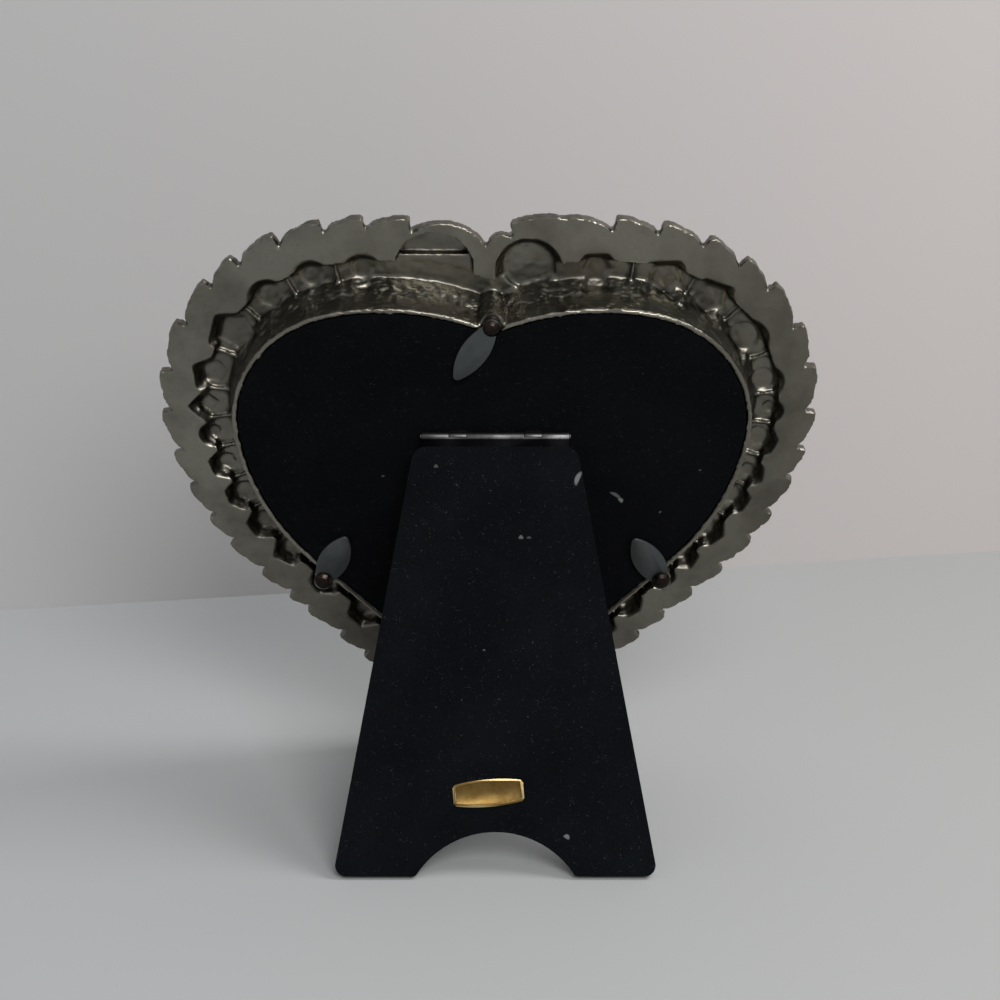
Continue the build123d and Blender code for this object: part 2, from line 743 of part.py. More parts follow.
label_place_on_leg = Location((label_shift, -label_place, leg_back), (0, 0, label_turn))
label_plane = Plane(leg_plane.location * label_place_on_leg)
with BuildPart() as label:
    with BuildSketch(label_plane):
        add(label_outline.sketch)
    extrude(amount=label_thick + label_raise)
    with BuildSketch(label_plane.offset(label_thick)):
        add(label_outline.sketch)
        offset(amount=-label_border)
    extrude(amount=label_raise, mode=Mode.SUBTRACT)
label.part.label = "label"
export_step(label.part, "parts/label.step")

# Rivets that hold the turn clips, with bevelled heads, and the washers beneath the clips
with BuildPart() as clip_rivets:
    for x, place, radius, washers, head_radius in posts:
        with BuildSketch(window_plane.offset(collar_height - rivet_length)):
            with Locations((x, place)):
                Circle(rivet_radius)
        extrude(amount=head_front - collar_height + rivet_length)
        with BuildSketch(window_plane.offset(head_front)):
            with Locations((x, place)):
                Circle(head_radius)
        extrude(amount=rivet_head_height)
    heads = clip_rivets.faces().filter_by(Plane(origin=(0, 0, 0), z_dir=back_normal))
    chamfer(heads.group_by(Axis(origin=(0, 0, 0), direction=back_normal))[-1].edges(), head_edge)
clip_rivets.part.label = "clip_rivets"
export_step(clip_rivets.part, "parts/clip_rivets.step")

with BuildPart() as clip_washers:
    for x, place, radius, washers, head_radius in posts:
        for count in range(washers):
            with BuildSketch(window_plane.offset(collar_height - count * (washer_thick + washer_gap))):
                with Locations((x, place)):
                    Circle(washer_radius)
                    Circle(rivet_radius + pin_play, mode=Mode.SUBTRACT)
            extrude(amount=washer_thick)
clip_washers.part.label = "clip_washers"
export_step(clip_washers.part, "parts/clip_washers.step")

# Turn clips: flat pointed blades, each on its own rivet
turn_clips = [
    ("clip_top", posts[0], top_clip_reach, top_clip_width, top_clip_angle),
    ("clip_left", posts[1], side_clip_reach, side_clip_width, left_clip_angle),
    ("clip_right", posts[2], side_clip_reach, side_clip_width, right_clip_angle),
]
for name, post, reach, width, angle in turn_clips:
    seat = Location((post[0], post[1], clip_front), (0, 0, angle))
    with BuildPart() as clip:
        with BuildSketch(Plane(window_plane.location * seat)) as blade:
            with BuildLine():
                for side in (-1, 1):
                    ThreePointArc(
                        (-clip_root_radius, 0), (reach * clip_belly_share, side * width / 2), (reach, 0)
                    )
            make_face()
            fillet(blade.vertices().sort_by(Axis.X)[-1], clip_tip_radius)
            Circle(clip_root_radius)
            Circle(rivet_radius + pin_play, mode=Mode.SUBTRACT)
        extrude(amount=clip_thick)
    clip.part.label = name
    export_step(clip.part, f"parts/{name}.step")

print("hinge point", hinge_point, "leg angle", leg_angle, "fold travel", open_angle - folded_angle)
for name, post, *rest in turn_clips:
    print(name, "turns about", window_plane.from_local_coords((post[0], post[1], clip_front)))
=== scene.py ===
import bpy, math, json
from mathutils import Vector, Matrix
from mathutils.kdtree import KDTree


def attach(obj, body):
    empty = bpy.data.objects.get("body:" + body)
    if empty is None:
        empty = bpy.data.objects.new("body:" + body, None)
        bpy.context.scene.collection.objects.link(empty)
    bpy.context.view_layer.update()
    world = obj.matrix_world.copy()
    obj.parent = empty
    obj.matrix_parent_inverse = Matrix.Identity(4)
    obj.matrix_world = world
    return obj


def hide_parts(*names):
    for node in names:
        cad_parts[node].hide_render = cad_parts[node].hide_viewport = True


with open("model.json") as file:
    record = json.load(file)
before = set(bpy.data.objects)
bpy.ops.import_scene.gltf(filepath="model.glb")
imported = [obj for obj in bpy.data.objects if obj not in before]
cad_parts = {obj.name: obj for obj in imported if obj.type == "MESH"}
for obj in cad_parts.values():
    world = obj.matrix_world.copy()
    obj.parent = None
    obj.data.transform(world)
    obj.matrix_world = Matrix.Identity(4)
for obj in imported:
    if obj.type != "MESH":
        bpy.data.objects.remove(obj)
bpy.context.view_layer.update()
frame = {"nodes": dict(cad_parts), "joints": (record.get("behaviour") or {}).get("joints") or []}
print("frame loaded:", len(frame["nodes"]), "nodes")

mm = 0.001
lean = math.radians(15)      # the heart leans back
flangeThick = 2.3 * mm
backOrigin = Vector((0, flangeThick / math.cos(lean) / 2, 0))
backX = Vector((-1, 0, 0))   # to the right, seen from behind
backUp = Vector((0, math.sin(lean), math.cos(lean)))
backOut = Vector((0, math.cos(lean), -math.sin(lean)))
hingeJoint = [j for j in frame["joints"] if j["name"] == "leg_hinge"][0]
hingePoint = Vector(hingeJoint["pos_m"])
legLean = math.radians(20.803)
legUp = Vector((0, -math.sin(legLean), math.cos(legLean)))
legOut = Vector((0, math.cos(legLean), math.sin(legLean)))

photoCamera = {"place": (-2.326, 401.61, 189.05), "pitch": 18.0, "lens": 67.98, "sensor": 36.0,
               "pixels": 1000}


def tone(red, green, blue):
    # colour picked as 0 to 255, turned into the linear one that the shader wants
    out = []
    for value in (red, green, blue):
        share = value / 255
        out.append(share / 12.92 if share <= 0.04045 else ((share + 0.055) / 1.055) ** 2.4)
    return (*out, 1)


# Camera, as the photo was taken: behind the frame, a little above it
def makeCamera():
    data = bpy.data.cameras.new("photoCamera")
    data.lens = photoCamera["lens"]
    data.sensor_width = photoCamera["sensor"]
    data.clip_start = 0.01
    camera = bpy.data.objects.new("photoCamera", data)
    bpy.context.scene.collection.objects.link(camera)
    camera.location = Vector(photoCamera["place"]) * mm
    camera.rotation_euler = (math.radians(90 - photoCamera["pitch"]), 0, math.radians(180))
    bpy.context.scene.camera = camera
    return camera


def pixelRay(pixel):
    # line of sight through a pixel of the photo, right and up from its middle
    pitch = math.radians(photoCamera["pitch"])
    ahead = Vector((0, -math.cos(pitch), -math.sin(pitch)))
    up = Vector((0, -math.sin(pitch), math.cos(pitch)))
    scale = photoCamera["sensor"] / photoCamera["lens"] / photoCamera["pixels"]
    half = photoCamera["pixels"] / 2
    return ahead + backX * (pixel[0] - half) * scale - up * (pixel[1] - half) * scale


def onPlane(pixel, origin, normal, level):
    # where that line meets a plane, a level above it
    ray = pixelRay(pixel)
    eye = Vector(photoCamera["place"]) * mm
    return eye + ray * ((origin + normal * level - eye).dot(normal) / ray.dot(normal))


# Loose fibres on the velvet: pixel, length and width in millimetres, turn in degrees and how pale it looks
boardLint = [
    {"pixel": (616, 495), "length": 2.8, "width": 0.8, "turn": -36, "pale": 0.6},
    {"pixel": (621, 500), "length": 1.3, "width": 0.9, "turn": -50, "pale": 1.0},
    {"pixel": (383, 476), "length": 0.7, "width": 0.4, "turn": 20, "pale": 0.5},
    {"pixel": (700, 470), "length": 0.6, "width": 0.4, "turn": 0, "pale": 0.4},
    {"pixel": (660, 512), "length": 0.7, "width": 0.5, "turn": 50, "pale": 0.4},
]
legLint = [
    {"pixel": (577.5, 478), "length": 3.0, "width": 1.0, "turn": 66, "pale": 0.9},
    {"pixel": (567, 836.5), "length": 1.3, "width": 0.9, "turn": -30, "pale": 0.9},
    {"pixel": (521, 537), "length": 1.0, "width": 0.8, "turn": 0, "pale": 0.6},
    {"pixel": (529, 537.5), "length": 1.0, "width": 0.5, "turn": 0, "pale": 0.3},
    {"pixel": (436, 466), "length": 0.9, "width": 0.7, "turn": 0, "pale": 0.4},
    {"pixel": (484, 650), "length": 0.6, "width": 0.4, "turn": 0, "pale": 0.4},
]
windowMiddle = {"across": 0.7, "up": 78.0}   # on the frame's back, seen from behind
windowPlace = backOrigin + backX * windowMiddle["across"] * mm + backUp * windowMiddle["up"] * mm
velvetLevels = {"board": 8.4, "leg": 1.35}   # above the flange's back and above the hinge's axis
for spot in boardLint:
    spot["place"] = onPlane(spot["pixel"], backOrigin, backOut, velvetLevels["board"] * mm)
for spot in legLint:
    spot["place"] = onPlane(spot["pixel"], hingePoint, legOut, velvetLevels["leg"] * mm)

makeCamera()
print("camera placed")


# Selection and copies
def only(piece):
    bpy.ops.object.select_all(action="DESELECT")
    piece.select_set(True)
    bpy.context.view_layer.objects.active = piece


def weldedCopy(nodeName, pieceName, meltAngle=0.5):
    # a CAD node's mesh is loose triangles: copy it, weld it and melt its flat faces
    piece = bpy.data.objects.new(pieceName, frame["nodes"][nodeName].data.copy())
    bpy.context.scene.collection.objects.link(piece)
    piece.data.materials.clear()
    only(piece)
    bpy.ops.object.mode_set(mode="EDIT")
    bpy.ops.mesh.select_all(action="SELECT")
    bpy.ops.mesh.remove_doubles(threshold=0.000002)
    if meltAngle:
        bpy.ops.mesh.dissolve_limited(angle_limit=math.radians(meltAngle))
    bpy.ops.object.mode_set(mode="OBJECT")
    return piece


def applyModifier(piece, kind, **values):
    modifier = piece.modifiers.new(kind.lower(), kind)
    for key, value in values.items():
        setattr(modifier, key, value)
    only(piece)
    bpy.ops.object.modifier_apply(modifier=modifier.name)


def smoothByAngle(piece, angle=35):
    only(piece)
    bpy.ops.object.shade_smooth_by_angle(angle=math.radians(angle))


def softenEdges(piece, width, segments=2, angle=40):
    applyModifier(piece, "BEVEL", width=width, segments=segments, limit_method="ANGLE",
                  angle_limit=math.radians(angle), use_clamp_overlap=True, harden_normals=False)


def bakePlace(piece):
    only(piece)
    bpy.ops.object.transform_apply(location=True, rotation=True, scale=True)


# Shader node helpers
def link(tree, source, target):
    tree.links.new(source, target)


def noiseNode(tree, vector, scale, detail=4, roughness=0.6):
    node = tree.nodes.new("ShaderNodeTexNoise")
    node.inputs["Scale"].default_value = scale
    node.inputs["Detail"].default_value = detail
    node.inputs["Roughness"].default_value = roughness
    link(tree, vector, node.inputs["Vector"])
    return node


def rangeNode(tree, value, low, high, toLow=0.0, toHigh=1.0):
    node = tree.nodes.new("ShaderNodeMapRange")
    for name, number in (("From Min", low), ("From Max", high), ("To Min", toLow), ("To Max", toHigh)):
        node.inputs[name].default_value = number
    link(tree, value, node.inputs["Value"])
    return node.outputs["Result"]


def mathNode(tree, operation, first, second):
    node = tree.nodes.new("ShaderNodeMath")
    node.operation = operation
    for index, value in enumerate((first, second)):
        if isinstance(value, (int, float)):
            node.inputs[index].default_value = value
        else:
            link(tree, value, node.inputs[index])
    return node.outputs[0]


def mixColour(tree, factor, first, second, blend="MIX"):
    node = tree.nodes.new("ShaderNodeMix")
    node.data_type = "RGBA"
    node.blend_type = blend
    if isinstance(factor, (int, float)):
        node.inputs[0].default_value = factor
    else:
        link(tree, factor, node.inputs[0])
    for index, value in ((6, first), (7, second)):
        if isinstance(value, tuple):
            node.inputs[index].default_value = value
        else:
            link(tree, value, node.inputs[index])
    return node.outputs[2]


def newGroup(name, inputs, outputs):
    group = bpy.data.node_groups.new(name, "ShaderNodeTree")
    for socketName, kind, value in inputs:
        socket = group.interface.new_socket(socketName, in_out="INPUT", socket_type=kind)
        socket.default_value = value
    for socketName, kind in outputs:
        group.interface.new_socket(socketName, in_out="OUTPUT", socket_type=kind)
    return group, group.nodes.new("NodeGroupInput"), group.nodes.new("NodeGroupOutput")


def makeCastGroup():
    # cloudy tarnish, fine pits and rubbed edges of a cast or stamped metal; its dark tone is grime and painted
    # shade, laid into creases and wherever a mask asks for it
    group, inside, outside = newGroup(
        "castWear",
        (("Metal", "NodeSocketColor", (0.3, 0.3, 0.3, 1)),
         ("Tarnish", "NodeSocketColor", (0.1, 0.1, 0.1, 1)),
         ("Rubbed", "NodeSocketColor", (0.6, 0.6, 0.6, 1)),
         ("GrimeAndShadeTone", "NodeSocketColor", (0.02, 0.02, 0.02, 1)),
         ("GrimeAndShadeAmount", "NodeSocketFloat", 0.0), ("Rubbing", "NodeSocketFloat", 0.35),
         ("Edge", "NodeSocketFloat", 0.5), ("Size", "NodeSocketFloat", 1.0),
         ("Roughness", "NodeSocketFloat", 0.35)),
        (("Color", "NodeSocketColor"), ("Roughness", "NodeSocketFloat"), ("Height", "NodeSocketFloat")))
    place = group.nodes.new("ShaderNodeTexCoord").outputs["Object"]
    scaled = group.nodes.new("ShaderNodeVectorMath")
    scaled.operation = "SCALE"
    link(group, place, scaled.inputs[0])
    link(group, inside.outputs["Size"], scaled.inputs["Scale"])
    cloud = noiseNode(group, scaled.outputs[0], 70, 5, 0.62)
    pits = noiseNode(group, scaled.outputs[0], 900, 3, 0.5)
    grain = noiseNode(group, scaled.outputs[0], 2600, 2, 0.5)
    dull = rangeNode(group, cloud.outputs["Fac"], 0.42, 0.68)
    colour = mixColour(group, dull, inside.outputs["Metal"], inside.outputs["Tarnish"])
    specks = rangeNode(group, pits.outputs["Fac"], 0.66, 0.74)
    colour = mixColour(group, mathNode(group, "MULTIPLY", specks, 0.7), colour, inside.outputs["Tarnish"])
    rub = rangeNode(group, inside.outputs["Edge"], 0.53, 0.63)
    colour = mixColour(group, mathNode(group, "MULTIPLY", rub, inside.outputs["Rubbing"]), colour,
                       inside.outputs["Rubbed"])
    # painted shade in creases: concave places darken towards the dark tone
    cavity = rangeNode(group, inside.outputs["Edge"], 0.485, 0.42, 0.0, 0.8)
    grimeAndShade = mathNode(group, "MAXIMUM", cavity, inside.outputs["GrimeAndShadeAmount"])
    colour = mixColour(group, grimeAndShade, colour, inside.outputs["GrimeAndShadeTone"])
    link(group, colour, outside.inputs["Color"])
    rough = mathNode(group, "ADD", inside.outputs["Roughness"],
                     rangeNode(group, cloud.outputs["Fac"], 0.3, 0.7, -0.06, 0.12))
    link(group, rough, outside.inputs["Roughness"])
    height = mathNode(group, "ADD", mathNode(group, "MULTIPLY", pits.outputs["Fac"], 0.7),
                      mathNode(group, "MULTIPLY", grain.outputs["Fac"], 0.3))
    link(group, height, outside.inputs["Height"])
    return group


def makeNapGroup():
    # short velvet pile: brushed patches, fine fibres and pale lint
    group, inside, outside = newGroup(
        "velvetNap",
        (("Pile", "NodeSocketColor", (0.01, 0.01, 0.01, 1)),
         ("Brushed", "NodeSocketColor", (0.02, 0.02, 0.02, 1)),
         ("Lint", "NodeSocketColor", (0.2, 0.2, 0.2, 1)), ("Linty", "NodeSocketFloat", 0.5)),
        (("Color", "NodeSocketColor"), ("Roughness", "NodeSocketFloat"), ("Height", "NodeSocketFloat")))
    place = group.nodes.new("ShaderNodeTexCoord").outputs["Object"]
    patches = noiseNode(group, place, 55, 4, 0.6)
    fibres = noiseNode(group, place, 3200, 3, 0.7)
    clumps = noiseNode(group, place, 700, 4, 0.65)
    brushed = rangeNode(group, patches.outputs["Fac"], 0.38, 0.7)
    colour = mixColour(group, brushed, inside.outputs["Pile"], inside.outputs["Brushed"])
    fibreMask = rangeNode(group, fibres.outputs["Fac"], 0.58, 0.78)
    clumpMask = rangeNode(group, clumps.outputs["Fac"], 0.5, 0.72)
    fibreClumps = mathNode(group, "MULTIPLY", fibreMask, clumpMask)
    lint = mathNode(group, "MULTIPLY", fibreClumps, inside.outputs["Linty"])
    colour = mixColour(group, lint, colour, inside.outputs["Lint"])
    link(group, colour, outside.inputs["Color"])
    link(group, rangeNode(group, clumps.outputs["Fac"], 0.3, 0.7, 0.82, 1.0), outside.inputs["Roughness"])
    clumpHeight = mathNode(group, "MULTIPLY", clumps.outputs["Fac"], 0.8)
    height = mathNode(group, "ADD", fibres.outputs["Fac"], clumpHeight)
    link(group, height, outside.inputs["Height"])
    return group


castWear = makeCastGroup()
velvetNap = makeNapGroup()


def newMaterial(name):
    material = bpy.data.materials.new(name)
    material.use_nodes = True
    tree = material.node_tree
    return material, tree, tree.nodes["Principled BSDF"]


def placeAlong(tree, origin, direction):
    # distance of a point from a plane through origin, in millimetres
    place = tree.nodes.new("ShaderNodeTexCoord").outputs["Object"]
    offset = tree.nodes.new("ShaderNodeVectorMath")
    offset.operation = "SUBTRACT"
    offset.inputs[1].default_value = origin
    link(tree, place, offset.inputs[0])
    along = tree.nodes.new("ShaderNodeVectorMath")
    along.operation = "DOT_PRODUCT"
    along.inputs[1].default_value = direction * 1000
    link(tree, offset.outputs[0], along.inputs[0])
    return along.outputs["Value"]


def facing(tree, direction):
    # how far the surface faces a direction, from -1 to 1
    dot = tree.nodes.new("ShaderNodeVectorMath")
    dot.operation = "DOT_PRODUCT"
    link(tree, tree.nodes.new("ShaderNodeNewGeometry").outputs["Normal"], dot.inputs[0])
    if isinstance(direction, Vector):
        dot.inputs[1].default_value = direction
    else:
        link(tree, direction, dot.inputs[1])
    return dot.outputs["Value"]


def addBump(tree, shader, height, strength, depth):
    bumpNode = tree.nodes.new("ShaderNodeBump")
    bumpNode.inputs["Strength"].default_value = strength
    bumpNode.inputs["Distance"].default_value = depth
    link(tree, height, bumpNode.inputs["Height"])
    link(tree, bumpNode.outputs["Normal"], shader.inputs["Normal"])


def metalMaterial(name, metal, tarnish, rubbed, grimeAndShade, size=1.0, roughness=0.35, bump=0.15, depth=0.00005,
                  rubbing=0.35):
    material, tree, shader = newMaterial(name)
    wear = tree.nodes.new("ShaderNodeGroup")
    wear.node_tree = castWear
    wear.inputs["Metal"].default_value = metal
    wear.inputs["Tarnish"].default_value = tarnish
    wear.inputs["Rubbed"].default_value = rubbed
    wear.inputs["GrimeAndShadeTone"].default_value = grimeAndShade
    wear.inputs["Rubbing"].default_value = rubbing
    wear.inputs["Size"].default_value = size
    wear.inputs["Roughness"].default_value = roughness
    link(tree, tree.nodes.new("ShaderNodeNewGeometry").outputs["Pointiness"], wear.inputs["Edge"])
    link(tree, wear.outputs["Color"], shader.inputs["Base Color"])
    link(tree, wear.outputs["Roughness"], shader.inputs["Roughness"])
    shader.inputs["Metallic"].default_value = 1
    addBump(tree, shader, wear.outputs["Height"], bump, depth)
    return material, tree, wear


def lintMask(tree, spot, up):
    # a short bent fibre that lies on the pile, seen where a pixel of the photo shows it
    turn = math.radians(spot["turn"])
    along = backX * math.cos(turn) + up * math.sin(turn)
    across = up * math.cos(turn) - backX * math.sin(turn)
    lengthwise = mathNode(tree, "DIVIDE", placeAlong(tree, spot["place"], along), spot["length"] / 2)
    bend = mathNode(tree, "MULTIPLY", mathNode(tree, "POWER", lengthwise, 2.0), spot["width"] * 0.25)
    crosswise = mathNode(tree, "DIVIDE", mathNode(tree, "ADD", placeAlong(tree, spot["place"], across), bend),
                         spot["width"] / 2)
    near = mathNode(tree, "ADD", mathNode(tree, "POWER", lengthwise, 2.0),
                    mathNode(tree, "POWER", crosswise, 2.0))
    return rangeNode(tree, near, 0.4, 1.3, spot["pale"], 0.0)


lintTone = tone(104, 106, 106)


def velvetMaterial(name, pile, brushed, linty, sheen, spots, up):
    material, tree, shader = newMaterial(name)
    nap = tree.nodes.new("ShaderNodeGroup")
    nap.node_tree = velvetNap
    nap.inputs["Pile"].default_value = pile
    nap.inputs["Brushed"].default_value = brushed
    nap.inputs["Lint"].default_value = lintTone
    nap.inputs["Linty"].default_value = linty
    colour = nap.outputs["Color"]
    for spot in spots:
        colour = mixColour(tree, lintMask(tree, spot, up), colour, lintTone)
    link(tree, colour, shader.inputs["Base Color"])
    link(tree, nap.outputs["Roughness"], shader.inputs["Roughness"])
    shader.inputs["Specular IOR Level"].default_value = 0.06
    shader.inputs["Sheen Weight"].default_value = sheen
    shader.inputs["Sheen Roughness"].default_value = 0.35
    shader.inputs["Sheen Tint"].default_value = tone(150, 165, 170)
    addBump(tree, shader, nap.outputs["Height"], 0.6, 0.0001)
    return material


def paperMaterial(name, colour, fibre, size=1.0, roughness=0.85):
    material, tree, shader = newMaterial(name)
    place = tree.nodes.new("ShaderNodeTexCoord").outputs["Object"]
    noise = noiseNode(tree, place, 400 * size, 6, 0.7)
    link(tree, mixColour(tree, rangeNode(tree, noise.outputs["Fac"], 0.35, 0.7), colour, fibre),
         shader.inputs["Base Color"])
    shader.inputs["Roughness"].default_value = roughness
    addBump(tree, shader, noise.outputs["Fac"], 0.2, 0.00005)
    return material


def glassMaterial():
    material, tree, shader = newMaterial("windowGlass")
    place = tree.nodes.new("ShaderNodeTexCoord").outputs["Object"]
    smears = noiseNode(tree, place, 30, 3, 0.5)
    link(tree, rangeNode(tree, smears.outputs["Fac"], 0.4, 0.7, 0.02, 0.07), shader.inputs["Roughness"])
    shader.inputs["Base Color"].default_value = (0.92, 0.96, 0.94, 1)
    shader.inputs["Transmission Weight"].default_value = 1
    shader.inputs["IOR"].default_value = 1.5
    return material


castMetal, castTree, castNodes = metalMaterial(
    "castNickel", tone(132, 129, 119), tone(106, 102, 93), tone(190, 182, 165), tone(34, 29, 24),
    roughness=0.3, bump=0.12)
# the ground back is the cleanest, the collar's outer wall is browner and the hollows' floors are darker;
# painted shade darkens the hollows' walls that face inward
castLevel = placeAlong(castTree, backOrigin, backOut)
wallMask = mathNode(castTree, "MULTIPLY", rangeNode(castTree, castLevel, 0.6, 3.4, 0.0, 0.4),
                    rangeNode(castTree, castLevel, 8.5, 8.3))
floorMask = rangeNode(castTree, castLevel, -0.4, -1.6, 0.0, 0.26)
upright = rangeNode(castTree, mathNode(castTree, "ABSOLUTE", facing(castTree, backOut), 0), 0.9, 0.6)
sunk = mathNode(castTree, "MULTIPLY", upright, rangeNode(castTree, castLevel, -0.05, -0.3))
fromMiddle = castTree.nodes.new("ShaderNodeVectorMath")
fromMiddle.operation = "SUBTRACT"
fromMiddle.inputs[1].default_value = windowPlace
link(castTree, castTree.nodes.new("ShaderNodeTexCoord").outputs["Object"], fromMiddle.inputs[0])
inward = rangeNode(castTree, facing(castTree, fromMiddle.outputs[0]), 0.004, -0.01, 0.3, 0.8)
# painted shade on the hollows' upright walls that face inward
hollowWallShade = mathNode(castTree, "MULTIPLY", sunk, inward)
grimeAndShadeMask = mathNode(castTree, "MAXIMUM", mathNode(castTree, "MAXIMUM", wallMask, floorMask), hollowWallShade)
# painted shade: the casting's crevices, found by a dirt pass over its vertex colours, are darkened
creaseShadeAttribute = castTree.nodes.new("ShaderNodeAttribute")
creaseShadeAttribute.attribute_name = "cavity"
creaseShadeMask = rangeNode(castTree, creaseShadeAttribute.outputs["Fac"], 0.44, 0.2, 0.0, 0.9)
grimeAndShadeMask = mathNode(castTree, "MAXIMUM", grimeAndShadeMask, creaseShadeMask)
# painted shade that darkens the casting towards the right and fades away towards the lower left
cornerward = placeAlong(castTree, windowPlace, -(backX + backUp * 0.6).normalized())
rightward = placeAlong(castTree, backOrigin, backX)
rightwardShade = mathNode(castTree, "ADD", rangeNode(castTree, rightward, 30, 58, 0.1, 0.34),
                rangeNode(castTree, cornerward, 30, 55, 0.0, -0.1))
grimeAndShadeMask = mathNode(castTree, "MAXIMUM", grimeAndShadeMask, rightwardShade)
link(castTree, grimeAndShadeMask, castNodes.inputs["GrimeAndShadeAmount"])
clipMetal = metalMaterial(
    "clipNickel", tone(87, 90, 90), tone(72, 75, 76), tone(140, 144, 144), tone(40, 42, 42),
    size=1.6, roughness=0.48, bump=0.1, rubbing=0)[0]
hingeMetal, hingeTree, hingeNodes = metalMaterial(
    "hingeSteel", tone(92, 92, 92), tone(60, 60, 61), tone(205, 206, 208), tone(5, 5, 6),
    size=2.0, roughness=0.36, bump=0.1, rubbing=0)
# painted shade: only the barrel's upper side keeps its bright metal; below the hinge's axis the barrel and the
# leaf that goes into the leg are painted near black
link(hingeTree, rangeNode(hingeTree, placeAlong(hingeTree, hingePoint, legUp), 0.1, -0.6, 0.0, 1.0),
     hingeNodes.inputs["GrimeAndShadeAmount"])
rivetMetal = metalMaterial(
    "rivetNickel", tone(58, 50, 46), tone(34, 29, 27), tone(170, 162, 150), tone(18, 15, 13),
    size=2.0, roughness=0.22, bump=0.5, depth=0.0002, rubbing=0)[0]
boardVelvetCloth = velvetMaterial("boardVelvet", tone(4, 5, 7), tone(8, 9, 11), 0.5, 0.022, boardLint, backUp)
legVelvetCloth = velvetMaterial("legVelvet", tone(5, 7, 10), tone(10, 13, 16), 0.8, 0.036, legLint, legUp)
cardPaper = paperMaterial("photoCard", tone(236, 234, 228), tone(224, 221, 212))
padCard = paperMaterial("padCard", tone(190, 170, 140), tone(166, 146, 116), 0.6)
liningPaper = paperMaterial("liningPaper", tone(26, 26, 28), tone(40, 40, 42))
boardCard = paperMaterial("boardCard", tone(150, 138, 122), tone(120, 108, 94), 0.6)
paneGlass = glassMaterial()
print("materials made")

# Casting: softened like a real casting, with its ground back left flat. Levels and reaches are in millimetres
hollows = {"collarFrom": 3.0, "floor": -2.4, "reach": 12.5, "leafRoots": 10.3, "crownUp": 110.0,
           "crownWidth": 22.0, "leastInward": 0.05, "inwardSpan": 0.2, "smoothFactor": 0.5, "wear": 24}
casting = {"voxel": 0.36, "lumps": 0.36, "flatBand": 0.12, "lumpSize": 1.5, "collarLevel": 8.6,
           "footLow": 0.3, "footHigh": 3.2, "frontLevel": -2.4, "steep": 0.6, "dirtSpread": 5,
           "smoothSteps": 1, "smoothFactor": 0.5, "lumpDepth": 3, "smoothAngle": 50}
lumpShares = {"ground": 0.03, "foot": 1.0, "side": 0.8, "rest": 0.3}


def wearHollows(piece):
    # a slight wear of the hollows' walls along the back, by less than a quarter of a millimetre:
    # it softens them a little, and their outlines stay as angular as the CAD's
    collar = [vertex.co for vertex in piece.data.vertices if vertex.co.y > hollows["collarFrom"] * mm]
    tree = KDTree(len(collar))
    for index, place in enumerate(collar):
        tree.insert((place.x, 0, place.z), index)
    tree.balance()
    middle = Vector((-windowMiddle["across"] * mm, 0, windowMiddle["up"] * mm))
    worn = piece.vertex_groups.new(name="worn")
    for vertex in piece.data.vertices:
        level = vertex.co.y / mm
        flat = Vector((vertex.co.x, 0, vertex.co.z))
        crown = flat.z > hollows["crownUp"] * mm and abs(flat.x) < hollows["crownWidth"] * mm
        reach = tree.find(flat)[2] / mm
        if crown or not hollows["floor"] < level < casting["flatBand"] or reach > hollows["reach"]:
            continue
        inward = vertex.normal.dot((middle - flat).normalized())
        flatFace = level > -casting["flatBand"] and reach < hollows["leafRoots"]
        share = 1.0 if flatFace else min(max((inward - hollows["leastInward"]) / hollows["inwardSpan"], 0), 1)
        worn.add([vertex.index], share, "REPLACE")
    applyModifier(piece, "SMOOTH", factor=hollows["smoothFactor"], iterations=hollows["wear"], use_y=False,
                  vertex_group="worn")


def makeCasting():
    piece = weldedCopy("cast_frame", "castFrame", meltAngle=0)
    upright = Matrix.Rotation(lean, 4, "X") @ Matrix.Translation(-backOrigin)
    piece.data.transform(upright)
    applyModifier(piece, "REMESH", mode="VOXEL", voxel_size=casting["voxel"] * mm)
    applyModifier(piece, "SMOOTH", factor=casting["smoothFactor"], iterations=casting["smoothSteps"])
    wearHollows(piece)
    rough = piece.vertex_groups.new(name="rough")
    for vertex in piece.data.vertices:
        level = vertex.co.y / mm
        if abs(level) < casting["flatBand"] or level > casting["collarLevel"] - casting["flatBand"]:
            share = lumpShares["ground"]
        elif casting["footLow"] < level < casting["footHigh"]:
            share = lumpShares["foot"]
        elif level > casting["frontLevel"] and abs(vertex.normal.y) < casting["steep"]:
            share = lumpShares["side"]
        else:
            share = lumpShares["rest"]
        rough.add([vertex.index], share, "REPLACE")
    texture = bpy.data.textures.new("castLumps", "CLOUDS")
    texture.noise_scale = casting["lumpSize"] * mm
    texture.noise_depth = casting["lumpDepth"]
    applyModifier(piece, "DISPLACE", texture=texture, strength=casting["lumps"] * mm * 2, mid_level=0.5,
                  texture_coords="LOCAL", vertex_group="rough")
    piece.data.transform(upright.inverted())
    piece.data.update()
    # painted shade: a dirt pass over the vertex colours marks the crevices, which the material darkens
    cavity = piece.data.color_attributes.new("cavity", "BYTE_COLOR", "CORNER")
    piece.data.color_attributes.active_color = cavity
    only(piece)
    bpy.ops.paint.vertex_color_dirt(blur_strength=1, blur_iterations=casting["dirtSpread"])
    smoothByAngle(piece, casting["smoothAngle"])
    piece.data.materials.append(castMetal)
    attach(piece, "frame")
    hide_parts("cast_frame")
    print("casting:", len(piece.data.polygons), "faces")
    return piece


makeCasting()


# Hard parts that keep their shape and only get softened edges
def makeHardPart(nodeName, pieceName, body, material, bevel, angle=35):
    piece = weldedCopy(nodeName, pieceName)
    softenEdges(piece, bevel * mm)
    smoothByAngle(piece, angle)
    piece.data.materials.append(material)
    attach(piece, body)
    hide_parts(nodeName)
    return piece


